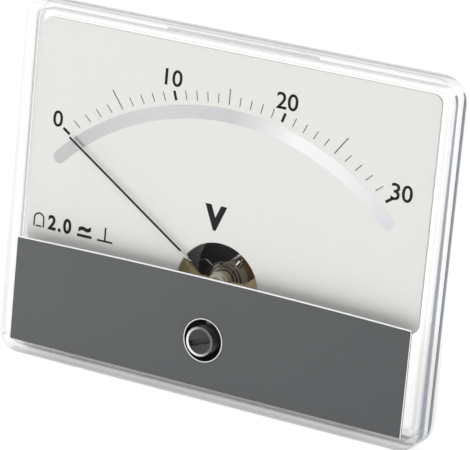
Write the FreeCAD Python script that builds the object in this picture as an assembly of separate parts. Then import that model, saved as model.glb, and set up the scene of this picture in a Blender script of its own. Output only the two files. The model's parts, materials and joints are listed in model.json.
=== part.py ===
import FreeCAD, Part
import math
import os

# Moving-coil panel voltmeter with a clear case.
# Frame: X right and Z up as seen from the front, Y into the panel, millimetres.
# Origin: centre of the round barrel, on the rear face of the flange, where the panel goes.

V = FreeCAD.Vector
along_y = V(0, 1, 0)

# ---- allowances used throughout ----
past = 1.0  # cutters run past the faces that they cut
merge = 0.1  # joined pieces run into each other
sink = 0.5  # posts and bosses run into the walls that they stand on
set_gap = 0.02  # round parts moulded in or pressed in
screw_gap = 0.1  # clearance holes, on the radius
head_gap = 0.2  # round and behind sunk screw heads
thread_bite = 0.1  # screw holes in plastic are narrower than the thread

# ---- case ----
flange_width = 86.0
flange_height = 65.0
foot_margin = 2.5  # flange below the barrel
cover_depth = 5.5
base_flange = 2.0
cover_corner = 4.0
cover_edge = 1.5  # rounding of the cover's front edges
base_corner = 4.6
base_edge = 0.5
cover_wall = 1.5
window_thickness = 1.6
fit_gap = 0.15  # between parts that locate each other
rim_wall = 1.2
rim_height = 1.6
rim_round = 0.3  # extra rounding inside the rim
hook_length = 30.0
hook_size = 0.5
hook_seat = 0.3  # below the rim's front edge
barrel_radius = 26.0
barrel_depth = 26.0
barrel_wall = 1.5
barrel_end = 2.0
barrel_edge = 1.0

# ---- lower band and adjuster window in the cover ----
band_side = 2.8  # from the flange's side
band_foot = 2.6  # lifts are above the flange's foot
band_lift = 21.75  # top edge, at the sides
band_arch = 0.6  # rise of the band's top edge at the middle
band_thickness = 0.4
band_seat = 0.5
band_gap = 0.1
window_hole_radius = 3.92
adjuster_drop = 9.75  # adjuster axis below the pointer axis
collar_radius = 2.68
collar_stand = 1.1

# ---- zero screw ----
screw_radius = 2.15
running_gap = 0.05
screw_recess = 0.15  # front of the screw below the collar's rim
screw_slot = 1.1
screw_slot_depth = 0.9
screw_slot_angle = 21.0
screw_flange_radius = 2.45
screw_flange = 0.6
flange_gap = 0.1  # screw's flange behind the window
pin_throw = 1.2
pin_radius = 0.5
pin_past = 0.5  # beyond the lever

# ---- dial ----
dial_depth = 2.9  # printed face behind the front of the case
dial_thickness = 0.6
dial_side_gap = 1.6  # to the cover's inner walls
dial_top_gap = 1.4
dial_overlap = 1.55  # below the band's top edge
dial_corner = 1.8
dial_opening = 8.4
dial_opening_x = 0.2
dial_opening_drop = 1.0  # below the pointer axis
ear_half = 5.0
ear_drop = 7.0
ear_corner = 2.0
dial_screw_drop = 3.5  # below the dial's lower edge
dial_screw_radius = 1.0
dial_screw_head = 1.9
dial_screw_height = 0.8
dial_screw_slot = 0.5
dial_slot_turn = 20.0
dial_screw_reach = 3.0
dial_hole_depth = 1.4
post_radius = 2.5
post_room = 1.6  # from the barrel's outside to a lower post's axis
top_post_drop = 3.0  # below the dial's top edge
top_post_inset = 9.5  # inwards from the studs

# ---- pointer axis and movement ----
axis_lift = 20.9  # pointer axis
rest_angle = 57.5  # pointer left of upright at zero
needle_room = 4.6  # above an upright needle
needle_root = 8.5
needle_radius = 0.18
needle_gap = 0.75  # needle's centre in front of the dial
ferrule_radius = 0.3
ferrule_gap = 0.7  # from the crank's bend
arm_radius = 0.12
arm_start = 1.0
arm_bend = 0.45
arm_socket = 1.0  # arm inside the needle
crank_front = 6.1
crank_back = 5.5
hub_reach = 3.2
hub_width = 1.9
hub_radius = 1.3
hub_length = 1.2
hub_gap = 1.0  # gaps named here are behind the front bridge
collar_gap = 0.2
spring_gap = 0.25
hub_collar = 0.9
pivot_radius = 0.3
pivot_point = 0.08
pivot_tip = 0.25  # point inside the jewel
pivot_shoulder = 0.1
coil_angle = 48.0  # coil plane right of upright at zero
yoke_margin = 1.6  # yoke to the movement frame's edge
yoke_wall = 2.8
yoke_front = 3.5
rear_room = 7.5  # from the yoke to the barrel's end wall
air_gap = 3.6  # between yoke and core
core_gap = 0.6
core_edge = 0.4
former_wall = 0.6
former_width = 6.0
winding_wall = 0.8
winding_width = 5.0
end_gap = 0.5
holder_half = 1.5
holder_length = 6.0
holder_turn = 15.0
seat_radius = 3.1
seat_thickness = 0.6
bridge_gap = 0.9  # behind the dial
bridge_thickness = 0.8
bridge_half = 1.6
bridge_flat = 4.5
bridge_rise = 31.0  # slope of the bridge's arms
bridge_top = 0.4
bridge_heel = 1.0
bridge_ear = 0.5  # round the pillars
bridge_boss = 0.7  # round the jewel screw
rear_bridge_boss = 1.5
arm_drop = 0.3
pillar_radius = 1.3
bridge_screw_radius = 0.7
bridge_screw_head = 1.3
bridge_head_height = 0.7
bridge_screw_slot = 0.36
bridge_slot_turn = 60.0
bridge_screw_reach = 2.6
pillar_hole_depth = 3.0
jewel_screw_radius = 1.2
jewel_radius = 0.6
jewel_length = 0.5
jewel_slot = 0.4
jewel_slot_depth = 0.5
jewel_nut = 3.2  # across flats
front_nut_height = 0.6
rear_nut_height = 0.7
jewel_tail = 0.7
rear_jewel_tail = 0.9
cup_depth = 0.35
cup_mouth = 0.5
cup_point = 0.1
lever_gap = 0.25  # lever to bridge
lever_thickness = 0.5
lever_ring = 2.0
lever_arm = 1.5
fork_wall = 1.0
fork_gap = 0.12
fork_length = 2.6
fork_neck = 1.2
fork_web = 0.9
spring_turns = 4
spring_step = 0.7  # growth in each turn
spring_strip = 0.14
spring_height = 0.3
spring_room = 0.35  # to the collar
anchor_post = 0.3
anchor_gap = 0.15
balance_reach = 5.2
weight_radius = 0.7
weight_length = 1.2
weight_inset = 0.4
balance_wire = 0.18
balance_root = 1.35
rear_seat_gap = 0.3
rear_bridge_gap = 0.6
rear_jewel_gap = 0.4
front_jewel_gap = 0.1
lock_gap = 0.1  # front lock nut to the lever

# ---- movement frame ----
frame_front = 4.0
frame_thickness = 4.0
frame_gap = 0.3
boss_radius = 2.5
boss_gap = 0.5  # to the barrel's wall
frame_screw_radius = 1.25
frame_screw_head = 2.2
frame_head_height = 1.2
frame_screw_slot = 0.6
frame_slot_turn = 25.0
frame_screw_reach = 9.0
frame_hole_depth = 10.0
board_width = 26.0
board_height = 7.6
board_thickness = 1.2
board_gap = 0.6  # under the top boss
board_post_x = 9.4
board_post = 2.0
board_stand = 2.0
board_corner = 1.0
board_screw_radius = 0.78
board_screw_head = 1.5
board_head_height = 0.9
board_screw_slot = 0.4
board_screw_start = 2.0
board_hole_start = 1.0
part_rounding = 0.35
diode_x = 3.2
diode_rows = (2.3, 0.4)
diode_radius = 0.8
diode_length = 3.6
resistor_radius = 1.2
resistor_length = 7.0
resistor_drop = 2.2
lead_radius = 0.5
lead_bend = 1.0
lead_x = 5.6
lead_gap = 0.3
lead_lift = 1.0  # above the board's lower edge
lead_inset = 1.2
lead_loop = 3.5
lead_drop = 2.4
lead_rise = 6.0
lead_front = 2.5
bridge_lead_lift = 1.2
behind_gap = 0.2

# ---- panel studs and terminals ----
stud_side = 14.0  # stud axis to the flange's side
stud_foot = 9.5
stud_radius = 1.5
stud_root = 1.9  # the part set in the flange
stud_length = 10.0
stud_chamfer = 0.35
stud_head = 2.75
stud_head_height = 1.6
terminal_x = 12.0
terminal_drop = 5.6  # below the board's middle
terminal_radius = 2.0
terminal_length = 12.0
terminal_head = 2.0
terminal_chamfer = 0.4
terminal_seat = 0.8
inner_washer = 0.5
inner_washer_radius = 3.9
terminal_nut = 7.0  # across flats
lock_nut_height = 2.2
nut_height = 3.2
lug_radius = 4.0
lug_thickness = 0.5
lug_length = 11.0
lug_tongue = 3.2
lug_eye = 1.4
lug_eye_start = 3.8  # from the tip
lug_eye_end = 1.2
washer_radius = 4.4
washer_thickness = 0.8
cover_screw_side = 14.5
cover_screw_foot = 4.2
cover_screw_radius = 1.1
cover_screw_head = 1.9
cover_screw_sink = 1.0  # head's seat below the rear face
cover_screw_slot = 0.5
cover_slot_depth = 0.4
cover_boss = 2.2
boss_floor = 0.4  # between the window and the screw's hole

# ---- places worked out from the sizes above ----
front_y = -(cover_depth + base_flange)
inner_y = front_y + window_thickness
seam_y = -base_flange
inner_width = flange_width - 2 * cover_wall
inner_height = flange_height - 2 * cover_wall
inner_corner = cover_corner - cover_wall
frame_radius = barrel_radius - barrel_wall - frame_gap
barrel_inner = barrel_radius - barrel_wall
barrel_back = barrel_depth - barrel_end
foot_z = -barrel_radius - foot_margin
face_z = foot_z + flange_height / 2
band_half = flange_width / 2 - band_side
band_top_z = foot_z + band_lift
band_foot_z = foot_z + band_foot
dial_half = inner_width / 2 - dial_side_gap
dial_top_z = face_z + inner_height / 2 - dial_top_gap
dial_foot_z = band_top_z - dial_overlap
dial_screw_z = dial_foot_z - dial_screw_drop
post_circle = barrel_radius + post_room
ear_x = math.sqrt(post_circle ** 2 - dial_screw_z ** 2)
stud_x = flange_width / 2 - stud_side
stud_rise = flange_height / 2 - stud_foot
top_post_x = stud_x - top_post_inset
top_post_z = dial_top_z - top_post_drop
cover_screw_x = flange_width / 2 - cover_screw_side
cover_screw_z = foot_z + cover_screw_foot
dial_y = front_y + dial_depth
dial_back = dial_y + dial_thickness
needle_y = dial_y - needle_gap
axis_z = foot_z + axis_lift
adjuster_z = axis_z - adjuster_drop
needle_tip = face_z + inner_height / 2 - needle_room - axis_z
yoke_radius = frame_radius - abs(axis_z) - yoke_margin
yoke_bore = yoke_radius - yoke_wall
yoke_back = barrel_back - rear_room
pillar_circle = (yoke_radius + yoke_bore) / 2
core_radius = yoke_bore - air_gap
bridge_front = dial_back + bridge_gap
former_front = yoke_front - end_gap - former_wall
former_back = yoke_back + end_gap + former_wall
winding_front = former_front - former_wall
winding_back = former_back + former_wall
seat_back = winding_back + seat_thickness
rear_spring_y = seat_back + rear_seat_gap
rear_jewel_y = rear_spring_y + spring_height + rear_jewel_gap
rear_bridge_y = rear_jewel_y + rear_bridge_gap
bridge_back = bridge_front + bridge_thickness
lever_front = bridge_front - lever_gap - lever_thickness
collar_front = bridge_back + collar_gap
spring_front = bridge_back + spring_gap
hub_front = bridge_back + hub_gap
hub_back = hub_front + hub_length
front_jewel_y = bridge_back + front_jewel_gap
pin_z = adjuster_z + pin_throw
former_half = core_radius + core_gap
winding_half = former_half + former_wall
boss_circle = barrel_inner - boss_radius - boss_gap
board_z = boss_circle - boss_radius - board_gap - board_height / 2
terminal_z = board_z - terminal_drop


def block(x0, x1, y0, y1, z0, z1):
    return Part.makeBox(x1 - x0, y1 - y0, z1 - z0, V(x0, y0, z0))


def rod(radius, y0, y1, x=0.0, z=0.0):
    return Part.makeCylinder(radius, y1 - y0, V(x, y0, z), along_y)


def cone(radius0, radius1, y0, y1, x=0.0, z=0.0):
    return Part.makeCone(radius0, radius1, y1 - y0, V(x, y0, z), along_y)


def prism(points, y0, y1):
    corners = [V(x, y0, z) for x, z in points]
    face = Part.Face(Part.makePolygon(corners + corners[:1]))
    return face.extrude(V(0, y1 - y0, 0))


def slab(width, height, corner, y0, y1, z=0.0):
    # a rectangle with rounded corners, along Y
    body = block(-width / 2, width / 2, y0, y1, z - height / 2, z + height / 2)
    return round_edges(body, corner, lambda e: is_along(e, along_y))


def is_along(edge, direction):
    ends = edge.Vertexes
    if len(ends) != 2:
        return False
    run = ends[1].Point - ends[0].Point
    return run.Length > 1e-6 and run.cross(direction).Length < 1e-6 * run.Length


def round_edges(body, radius, wanted):
    return body.makeFillet(radius, [e for e in body.Edges if wanted(e)])


def at_height_y(edge, y):
    box = edge.BoundBox
    return abs(box.YMin - y) < 1e-4 and abs(box.YMax - y) < 1e-4


def hexagon(across, y0, y1, x=0.0, z=0.0):
    outer = across / math.sqrt(3)
    turns = [math.radians(60 * i) for i in range(6)]
    return prism([(x + outer * math.cos(t), z + outer * math.sin(t)) for t in turns], y0, y1)


def turned(body, degrees):
    # turns a body made round the pointer axis; positive is clockwise seen from the front
    copy = body.copy()
    copy.rotate(V(0, 0, axis_z), along_y, degrees)
    return copy


def fused(bodies):
    body = bodies[0]
    if len(bodies) > 1:
        body = body.fuse(bodies[1:])
    return body.removeSplitter()


def tube(points, radius, bend):
    # a round wire along straight runs joined by arcs that touch both runs
    edges = []
    start = points[0]
    for before, corner, after in zip(points, points[1:], points[2:]):
        back = (before - corner).normalize()
        ahead = (after - corner).normalize()
        half = back.getAngle(ahead) / 2
        cut = bend / math.tan(half)
        first = corner + back * cut
        last = corner + ahead * cut
        middle = corner + (back + ahead).normalize() * (bend / math.sin(half) - bend)
        edges.append(Part.LineSegment(start, first).toShape())
        edges.append(Part.Arc(first, middle, last).toShape())
        start = last
    edges.append(Part.LineSegment(start, points[-1]).toShape())
    path = Part.Wire(edges)
    heading = (points[1] - points[0]).normalize()
    ring = Part.Wire(Part.makeCircle(radius, points[0], heading))
    return path.makePipeShell([ring], True, False)


def polar(radius, degrees, y):
    # a point round the pointer axis, from upright, clockwise seen from the front
    turn = math.radians(degrees)
    return V(radius * math.sin(turn), y, axis_z + radius * math.cos(turn))


def save(name, bodies):
    shape = bodies[0] if len(bodies) == 1 else Part.makeCompound(bodies)
    shape.exportStep("parts/" + name + ".step")


def corners_of(dx, dz, z=0.0):
    return [(sx * dx / 2, z + sz * dz / 2) for sx in (-1, 1) for sz in (-1, 1)]


def slotted_head(radius, height, y, x, z, slot, angle):
    # a cheese head whose slotted face looks forward, at y
    head = rod(radius, y, y + height, x, z)
    cut = block(x - radius - past, x + radius + past, y - past, y + height / 2,
                z - slot / 2, z + slot / 2)
    cut.rotate(V(x, y, z), along_y, angle)
    return head.cut(cut)


# ---- case ----

def band_outline(grow, y0, y1):
    # the band is straight at the sides and foot, and its top edge is a shallow arch
    half = band_half + grow
    foot = band_foot_z - grow
    side = band_top_z + grow
    corners = [V(-half, y0, side), V(-half, y0, foot), V(half, y0, foot), V(half, y0, side)]
    edges = [Part.LineSegment(a, b).toShape() for a, b in zip(corners, corners[1:])]
    crown = V(0, y0, side + band_arch)
    edges.append(Part.Arc(corners[3], crown, corners[0]).toShape())
    return Part.Face(Part.Wire(edges)).extrude(V(0, y1 - y0, 0))


def make_front_cover():
    shell = slab(flange_width, flange_height, cover_corner, front_y, seam_y, face_z)
    shell = round_edges(shell, cover_edge, lambda e: at_height_y(e, front_y))
    hollow = slab(inner_width, inner_height, inner_corner, inner_y, seam_y + past, face_z)
    shell = shell.cut(hollow)
    shell = shell.cut(band_outline(0, front_y - past, front_y + band_seat))
    collar = rod(collar_radius, front_y - collar_stand, front_y + band_seat, 0, adjuster_z)
    bosses = [rod(cover_boss, inner_y, seam_y, s * cover_screw_x, cover_screw_z)
              for s in (-1, 1)]
    shell = fused([shell, collar] + bosses)
    bore = rod(screw_radius + running_gap, front_y - collar_stand - past, inner_y + past,
               0, adjuster_z)
    shell = shell.cut(bore)
    for s in (-1, 1):
        x = s * cover_screw_x
        z = cover_screw_z
        shell = shell.cut(rod(cover_screw_radius, inner_y + boss_floor, seam_y + past, x, z))
    hook_z = face_z + inner_height / 2 - merge
    groove_y = hook_place()
    groove = block(-hook_length / 2 - fit_gap, hook_length / 2 + fit_gap, groove_y - fit_gap,
                   groove_y + hook_size + fit_gap, hook_z, hook_z + merge + hook_size)
    return shell.cut(groove)


def hook_place():
    return seam_y - rim_height + hook_seat


def make_band():
    band = band_outline(-band_gap, front_y + band_seat - band_thickness, front_y + band_seat)
    return band.cut(rod(window_hole_radius, front_y - past, inner_y, 0, adjuster_z))


def make_rear_base():
    plate = slab(flange_width, flange_height, base_corner, seam_y, 0, face_z)
    plate = round_edges(plate, base_edge, lambda e: at_height_y(e, 0))
    grow = 2 * fit_gap
    rim = slab(inner_width - grow, inner_height - grow, inner_corner - fit_gap,
               seam_y - rim_height, seam_y, face_z)
    shrink = grow + 2 * rim_wall
    rim = rim.cut(slab(inner_width - shrink, inner_height - shrink,
                       inner_corner - fit_gap - rim_wall + rim_round,
                       seam_y - rim_height - past, seam_y + past, face_z))
    boss_room = [rod(cover_boss + fit_gap, seam_y - rim_height - past, seam_y,
                     s * cover_screw_x, cover_screw_z) for s in (-1, 1)]
    rim = rim.cut(Part.makeCompound(boss_room))
    rim_top = face_z + inner_height / 2 - fit_gap
    hook_y = hook_place()
    hook = make_hook(rim_top, hook_y)
    barrel = rod(barrel_radius, seam_y, barrel_depth)
    barrel = round_edges(barrel, barrel_edge, lambda e: at_height_y(e, barrel_depth))
    body = fused([plate, rim, hook, barrel])
    body = body.cut(rod(barrel_inner, seam_y - past, barrel_back))
    inside = [rod(boss_radius, frame_front + frame_thickness, barrel_back + sink, x, z)
              for x, z in frame_screw_places()]
    posts = [rod(post_radius, dial_back, seam_y + sink, s * ear_x, dial_screw_z)
             for s in (-1, 1)]
    posts += [rod(post_radius, dial_back, seam_y + sink, s * top_post_x, top_post_z)
              for s in (-1, 1)]
    outside = rod(barrel_radius, seam_y - past, barrel_depth)
    inside = [b.common(outside) for b in inside]
    body = fused([body] + inside + posts)
    cuts = [rod(stud_root + set_gap, seam_y - past, past, x, z)
            for x, z in corners_of(2 * stud_x, 2 * stud_rise, face_z)]
    cuts += [rod(frame_screw_radius - thread_bite, frame_front, frame_front + frame_hole_depth,
                 x, z) for x, z in frame_screw_places()]
    cuts += [rod(terminal_radius + set_gap, barrel_back - past, barrel_depth + past,
                 s * terminal_x, terminal_z) for s in (-1, 1)]
    for s in (-1, 1):
        x = s * cover_screw_x
        z = cover_screw_z
        cuts.append(rod(cover_screw_radius + screw_gap, seam_y - past, past, x, z))
        cuts.append(rod(cover_screw_head + head_gap, -cover_screw_sink, past, x, z))
        cuts.append(rod(dial_screw_radius - thread_bite, dial_back - past,
                        seam_y + dial_hole_depth, s * ear_x, dial_screw_z))
    return body.cut(Part.makeCompound(cuts))


def make_hook(rim_top, hook_y):
    # a low ridge on top of the locating rim that snaps into the cover's groove
    half = hook_length / 2
    return block(-half, half, hook_y, hook_y + hook_size, rim_top - rim_wall, rim_top + hook_size)


def frame_screw_places():
    turns = [math.radians(t) for t in (90, 210, 330)]
    return [(boss_circle * math.cos(t), boss_circle * math.sin(t)) for t in turns]


# ---- dial and its screws ----

def make_dial():
    middle = (dial_top_z + dial_foot_z) / 2
    plate = slab(2 * dial_half, dial_top_z - dial_foot_z, dial_corner, dial_y, dial_back, middle)
    low = dial_foot_z
    for s in (-1, 1):
        ear = block(s * ear_x - ear_half, s * ear_x + ear_half, dial_y, dial_back,
                    low - ear_drop, low + past)
        ear = round_edges(ear, ear_corner, lambda e: is_along(e, along_y)
                          and e.Vertexes[0].Z < low - ear_drop + 0.01)
        plate = plate.fuse(ear)
    plate = plate.removeSplitter()
    opening = rod(dial_opening, dial_y - past, dial_back + past, dial_opening_x,
                  axis_z - dial_opening_drop)
    plate = plate.cut(opening)
    for s in (-1, 1):
        plate = plate.cut(rod(dial_screw_radius + screw_gap, dial_y - past, dial_back + past,
                              s * ear_x, dial_screw_z))
    return plate


def make_dial_screws():
    screws = []
    for s in (-1, 1):
        x = s * ear_x
        z = dial_screw_z
        head = slotted_head(dial_screw_head, dial_screw_height, dial_y - dial_screw_height,
                            x, z, dial_screw_slot, dial_slot_turn * s)
        shank = rod(dial_screw_radius - thread_bite - set_gap, dial_y - merge,
                    dial_back + dial_screw_reach, x, z)
        screws.append(fused([head, shank]))
    return screws


def make_cover_screws():
    screws = []
    for s in (-1, 1):
        x = s * cover_screw_x
        z = cover_screw_z
        shank = rod(cover_screw_radius - set_gap, inner_y + boss_floor + head_gap,
                    merge - cover_screw_sink, x, z)
        head = rod(cover_screw_head, -cover_screw_sink, -head_gap, x, z)
        half = cover_screw_head + past
        slot = block(x - half, x + half, -head_gap - cover_slot_depth, past,
                     z - cover_screw_slot / 2, z + cover_screw_slot / 2)
        screws.append(fused([head, shank]).cut(slot))
    return screws


# ---- zero adjuster ----

def make_zero_screw():
    top = front_y - collar_stand + screw_recess
    flange_y = inner_y + flange_gap
    half = screw_radius + past
    core = rod(screw_radius, top, flange_y + merge, 0, adjuster_z)
    slot = block(-half, half, top - past, top + screw_slot_depth,
                 adjuster_z - screw_slot / 2, adjuster_z + screw_slot / 2)
    slot.rotate(V(0, 0, adjuster_z), along_y, -screw_slot_angle)
    core = core.cut(slot)
    flange = rod(screw_flange_radius, flange_y, flange_y + screw_flange, 0, adjuster_z)
    pin = rod(pin_radius, flange_y + screw_flange - merge,
              lever_front + lever_thickness + pin_past, 0, pin_z)
    return fused([core, flange, pin])


def make_zero_lever():
    y0 = lever_front
    y1 = lever_front + lever_thickness
    ring = rod(lever_ring, y0, y1, 0, axis_z)
    prong_in = pin_radius + fork_gap
    prong_out = prong_in + fork_wall
    fork_top = pin_z + fork_length / 2 + fork_neck
    arm = block(-lever_arm / 2, lever_arm / 2, y0, y1, fork_top - merge, axis_z)
    fork = block(-prong_out, prong_out, y0, y1, pin_z - fork_length / 2, fork_top)
    gap = block(-prong_in, prong_in, y0 - past, y1 + past, pin_z - fork_length,
                fork_top - fork_web)
    post = rod(anchor_post, y1 - merge, spring_front + spring_height, 0,
               axis_z - anchor_radius())
    lever = fused([ring, arm, fork, post]).cut(gap)
    return lever.cut(rod(jewel_screw_radius + running_gap, y0 - past, y1 + past, 0, axis_z))


def anchor_radius():
    # where a hairspring's outer end meets its anchor post
    return spring_inner() + spring_turns * spring_step + spring_strip + anchor_post + anchor_gap


# ---- fixed parts of the movement ----

def make_yoke():
    ring = rod(yoke_radius, yoke_front, yoke_back, 0, axis_z)
    ring = ring.cut(rod(yoke_bore, yoke_front - past, yoke_back + past, 0, axis_z))
    return ring.cut(Part.makeCompound(pillar_holes()))


def front_pillars():
    lift = math.radians(front_lift())
    return [(s * pillar_circle * math.cos(lift), axis_z + pillar_circle * math.sin(lift))
            for s in (-1, 1)]


def front_lift():
    # the bridge's arms leave its flat middle at bridge_rise and end on the pillar circle
    slope = math.tan(math.radians(bridge_rise))
    low, high = 0.0, 45.0
    for step in range(40):
        lift = (low + high) / 2
        x = pillar_circle * math.cos(math.radians(lift))
        z = pillar_circle * math.sin(math.radians(lift))
        if z < (x - bridge_flat) * slope - arm_drop:
            low = lift
        else:
            high = lift
    return low


def rear_pillars():
    return [(s * pillar_circle, axis_z) for s in (-1, 1)]


def pillar_holes():
    holes = [rod(bridge_screw_radius, yoke_front - past, yoke_front + pillar_hole_depth, x, z)
             for x, z in front_pillars()]
    holes += [rod(bridge_screw_radius, yoke_back - pillar_hole_depth, yoke_back + past, x, z)
              for x, z in rear_pillars()]
    return holes


def make_core():
    body = rod(core_radius, yoke_front, yoke_back, 0, axis_z)
    return body.makeChamfer(core_edge, [e for e in body.Edges if e.Closed])


def make_core_holders():
    # two bars bridge the gap between the core and the yoke, clear of the coil's swing
    middle = (yoke_front + yoke_back) / 2
    ring = rod(yoke_bore, yoke_front, yoke_back, 0, axis_z)
    ring = ring.cut(rod(core_radius, yoke_front - past, yoke_back + past, 0, axis_z))
    holders = []
    for angle in (holder_turn, holder_turn + 180.0):
        bar = block(-holder_half, holder_half, middle - holder_length / 2,
                    middle + holder_length / 2, axis_z, axis_z + yoke_radius)
        holders.append(turned(bar, angle).common(ring))
    return holders


def make_front_bridge():
    slope = math.radians(bridge_rise)
    reach = front_pillars()[1]
    rise = reach[1] - axis_z
    lower = -bridge_half
    upper = bridge_top
    across = pillar_radius + bridge_ear
    side = [(0, lower), (bridge_flat + bridge_heel, lower),
            (reach[0] + across * math.sin(slope), rise - across * math.cos(slope)),
            (reach[0] - across * math.sin(slope), rise + across * math.cos(slope)),
            (bridge_flat, upper), (0, upper)]
    y1 = bridge_front + bridge_thickness
    halves = []
    for s in (-1, 1):
        points = [(s * x, axis_z + z) for x, z in side]
        halves.append(prism(points, bridge_front, y1))
        halves.append(rod(across, bridge_front, y1, s * reach[0], reach[1]))
    halves.append(rod(jewel_screw_radius + bridge_boss, bridge_front, y1, 0, axis_z))
    plate = fused(halves)
    plate = plate.cut(rod(jewel_screw_radius + set_gap, bridge_front - past, y1 + past,
                          0, axis_z))
    for x, z in front_pillars():
        plate = plate.cut(rod(bridge_screw_radius + screw_gap, bridge_front - past,
                              y1 + past, x, z))
    return plate


def make_rear_bridge():
    y0 = rear_bridge_y
    y1 = y0 + bridge_thickness
    across = pillar_radius + bridge_ear
    bar = block(-pillar_circle, pillar_circle, y0, y1, axis_z - across, axis_z + across)
    ends = [rod(across, y0, y1, x, z) for x, z in rear_pillars()]
    post = rod(anchor_post, rear_spring_y, y0 + merge, anchor_radius(), axis_z)
    boss = rod(jewel_screw_radius + rear_bridge_boss, y0, y1, 0, axis_z)
    plate = fused([bar, post, boss] + ends)
    plate = plate.cut(rod(jewel_screw_radius + set_gap, y0 - past, y1 + past, 0, axis_z))
    for x, z in rear_pillars():
        plate = plate.cut(rod(bridge_screw_radius + screw_gap, y0 - past, y1 + past, x, z))
    return plate


def make_pillars():
    bodies = [rod(pillar_radius, bridge_back, yoke_front, x, z) for x, z in front_pillars()]
    bodies += [rod(pillar_radius, yoke_back, rear_bridge_y, x, z) for x, z in rear_pillars()]
    holes = [rod(bridge_screw_radius + screw_gap, bridge_front, yoke_front + past, x, z)
             for x, z in front_pillars()]
    holes += [rod(bridge_screw_radius + screw_gap, yoke_back - past, rear_bridge_y + past, x, z)
              for x, z in rear_pillars()]
    return [body.cut(hole) for body, hole in zip(bodies, holes)]


def make_bridge_screws():
    screws = []
    for x, z in front_pillars():
        head = slotted_head(bridge_screw_head, bridge_head_height,
                            bridge_front - bridge_head_height, x, z, bridge_screw_slot,
                            bridge_slot_turn)
        shank = rod(bridge_screw_radius - set_gap, bridge_front - merge,
                    yoke_front + bridge_screw_reach, x, z)
        screws.append(fused([head, shank]))
    back = rear_bridge_y + bridge_thickness
    for x, z in rear_pillars():
        head = rod(bridge_screw_head, back, back + bridge_head_height, x, z)
        half = bridge_screw_head + past
        slot = block(x - half, x + half, back + bridge_head_height / 2, back + past,
                     z - bridge_screw_slot / 2, z + bridge_screw_slot / 2)
        shank = rod(bridge_screw_radius - set_gap, yoke_back - bridge_screw_reach,
                    back + merge, x, z)
        screws.append(fused([head, shank]).cut(slot))
    return screws


def make_jewel_screw(mouth, tail, ahead):
    # mouth is the face that holds the jewel, tail is the slotted end
    y0 = min(mouth, tail)
    y1 = max(mouth, tail)
    body = rod(jewel_screw_radius, y0, y1, 0, axis_z)
    seat = sorted((mouth - ahead, mouth + ahead * jewel_length))
    body = body.cut(rod(jewel_radius + set_gap, seat[0], seat[1], 0, axis_z))
    slot = sorted((tail + ahead * past, tail - ahead * jewel_slot_depth))
    half = jewel_screw_radius + past
    return body.cut(block(-half, half, slot[0], slot[1], axis_z - jewel_slot / 2,
                          axis_z + jewel_slot / 2))


def make_jewel(mouth, ahead):
    # a sapphire cup; the pivot's cone stands in it
    span = sorted((mouth, mouth + ahead * jewel_length))
    body = rod(jewel_radius, span[0], span[1], 0, axis_z)
    deep = mouth + ahead * cup_depth
    if ahead < 0:
        cup = cone(cup_point, cup_mouth, deep, mouth, 0, axis_z)
    else:
        cup = cone(cup_mouth, cup_point, mouth, deep, 0, axis_z)
    return body.cut(cup)


def make_lock_nut(y0, y1):
    body = hexagon(jewel_nut, y0, y1, 0, axis_z)
    return body.cut(rod(jewel_screw_radius + set_gap, y0 - past, y1 + past, 0, axis_z))


# ---- moving coil ----

def make_former():
    outer = former_half + former_wall
    body = block(-former_width / 2, former_width / 2, former_front, former_back,
                 axis_z - outer, axis_z + outer)
    hole = block(-former_width, former_width, former_front + former_wall,
                 former_back - former_wall, axis_z - former_half, axis_z + former_half)
    return turned(body.cut(hole), coil_angle)


def make_winding():
    inner = winding_half
    outer = winding_half + winding_wall
    body = block(-winding_width / 2, winding_width / 2, winding_front, winding_back,
                 axis_z - outer, axis_z + outer)
    body = round_edges(body, winding_wall, lambda e: is_along(e, V(1, 0, 0)))
    hole = block(-winding_width, winding_width, former_front, former_back,
                 axis_z - inner, axis_z + inner)
    return turned(body.cut(hole), coil_angle)


def make_pivot_seats():
    front = rod(seat_radius, winding_front - seat_thickness, winding_front, 0, axis_z)
    back = rod(seat_radius, winding_back, winding_back + seat_thickness, 0, axis_z)
    hole = rod(pivot_radius + set_gap, winding_front - seat_thickness - past,
               winding_back + seat_thickness + past, 0, axis_z)
    return [front.cut(hole), back.cut(hole)]


def make_front_pivot():
    tip = front_jewel_y - pivot_tip
    shoulder = front_jewel_y + pivot_shoulder
    body = rod(pivot_radius, shoulder, winding_front, 0, axis_z)
    return fused([body, cone(pivot_point, pivot_radius, tip, shoulder, 0, axis_z)])


def make_rear_pivot():
    tip = rear_jewel_y + pivot_tip
    shoulder = rear_jewel_y - pivot_shoulder
    body = rod(pivot_radius, winding_back, shoulder, 0, axis_z)
    return fused([body, cone(pivot_radius, pivot_point, shoulder, tip, 0, axis_z)])


def make_hub():
    # boss on the front pivot, a tab towards the needle's arm, and a collar for the hairspring
    boss = rod(hub_radius, hub_front, hub_back, 0, axis_z)
    collar = rod(hub_collar, collar_front, hub_front + merge, 0, axis_z)
    tab = block(-hub_width / 2, hub_width / 2, hub_front, hub_back, axis_z, axis_z + hub_reach)
    body = fused([boss, turned(tab, -rest_angle), collar])
    body = body.cut(rod(pivot_radius + set_gap, collar_front - past, hub_back + past, 0, axis_z))
    middle = (hub_front + hub_back) / 2
    hole = Part.makeCylinder(arm_radius + set_gap, hub_reach,
                             polar(arm_start - merge, -rest_angle, middle),
                             polar(1, -rest_angle, 0) - polar(0, 0, 0))
    return body.cut(hole)


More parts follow.
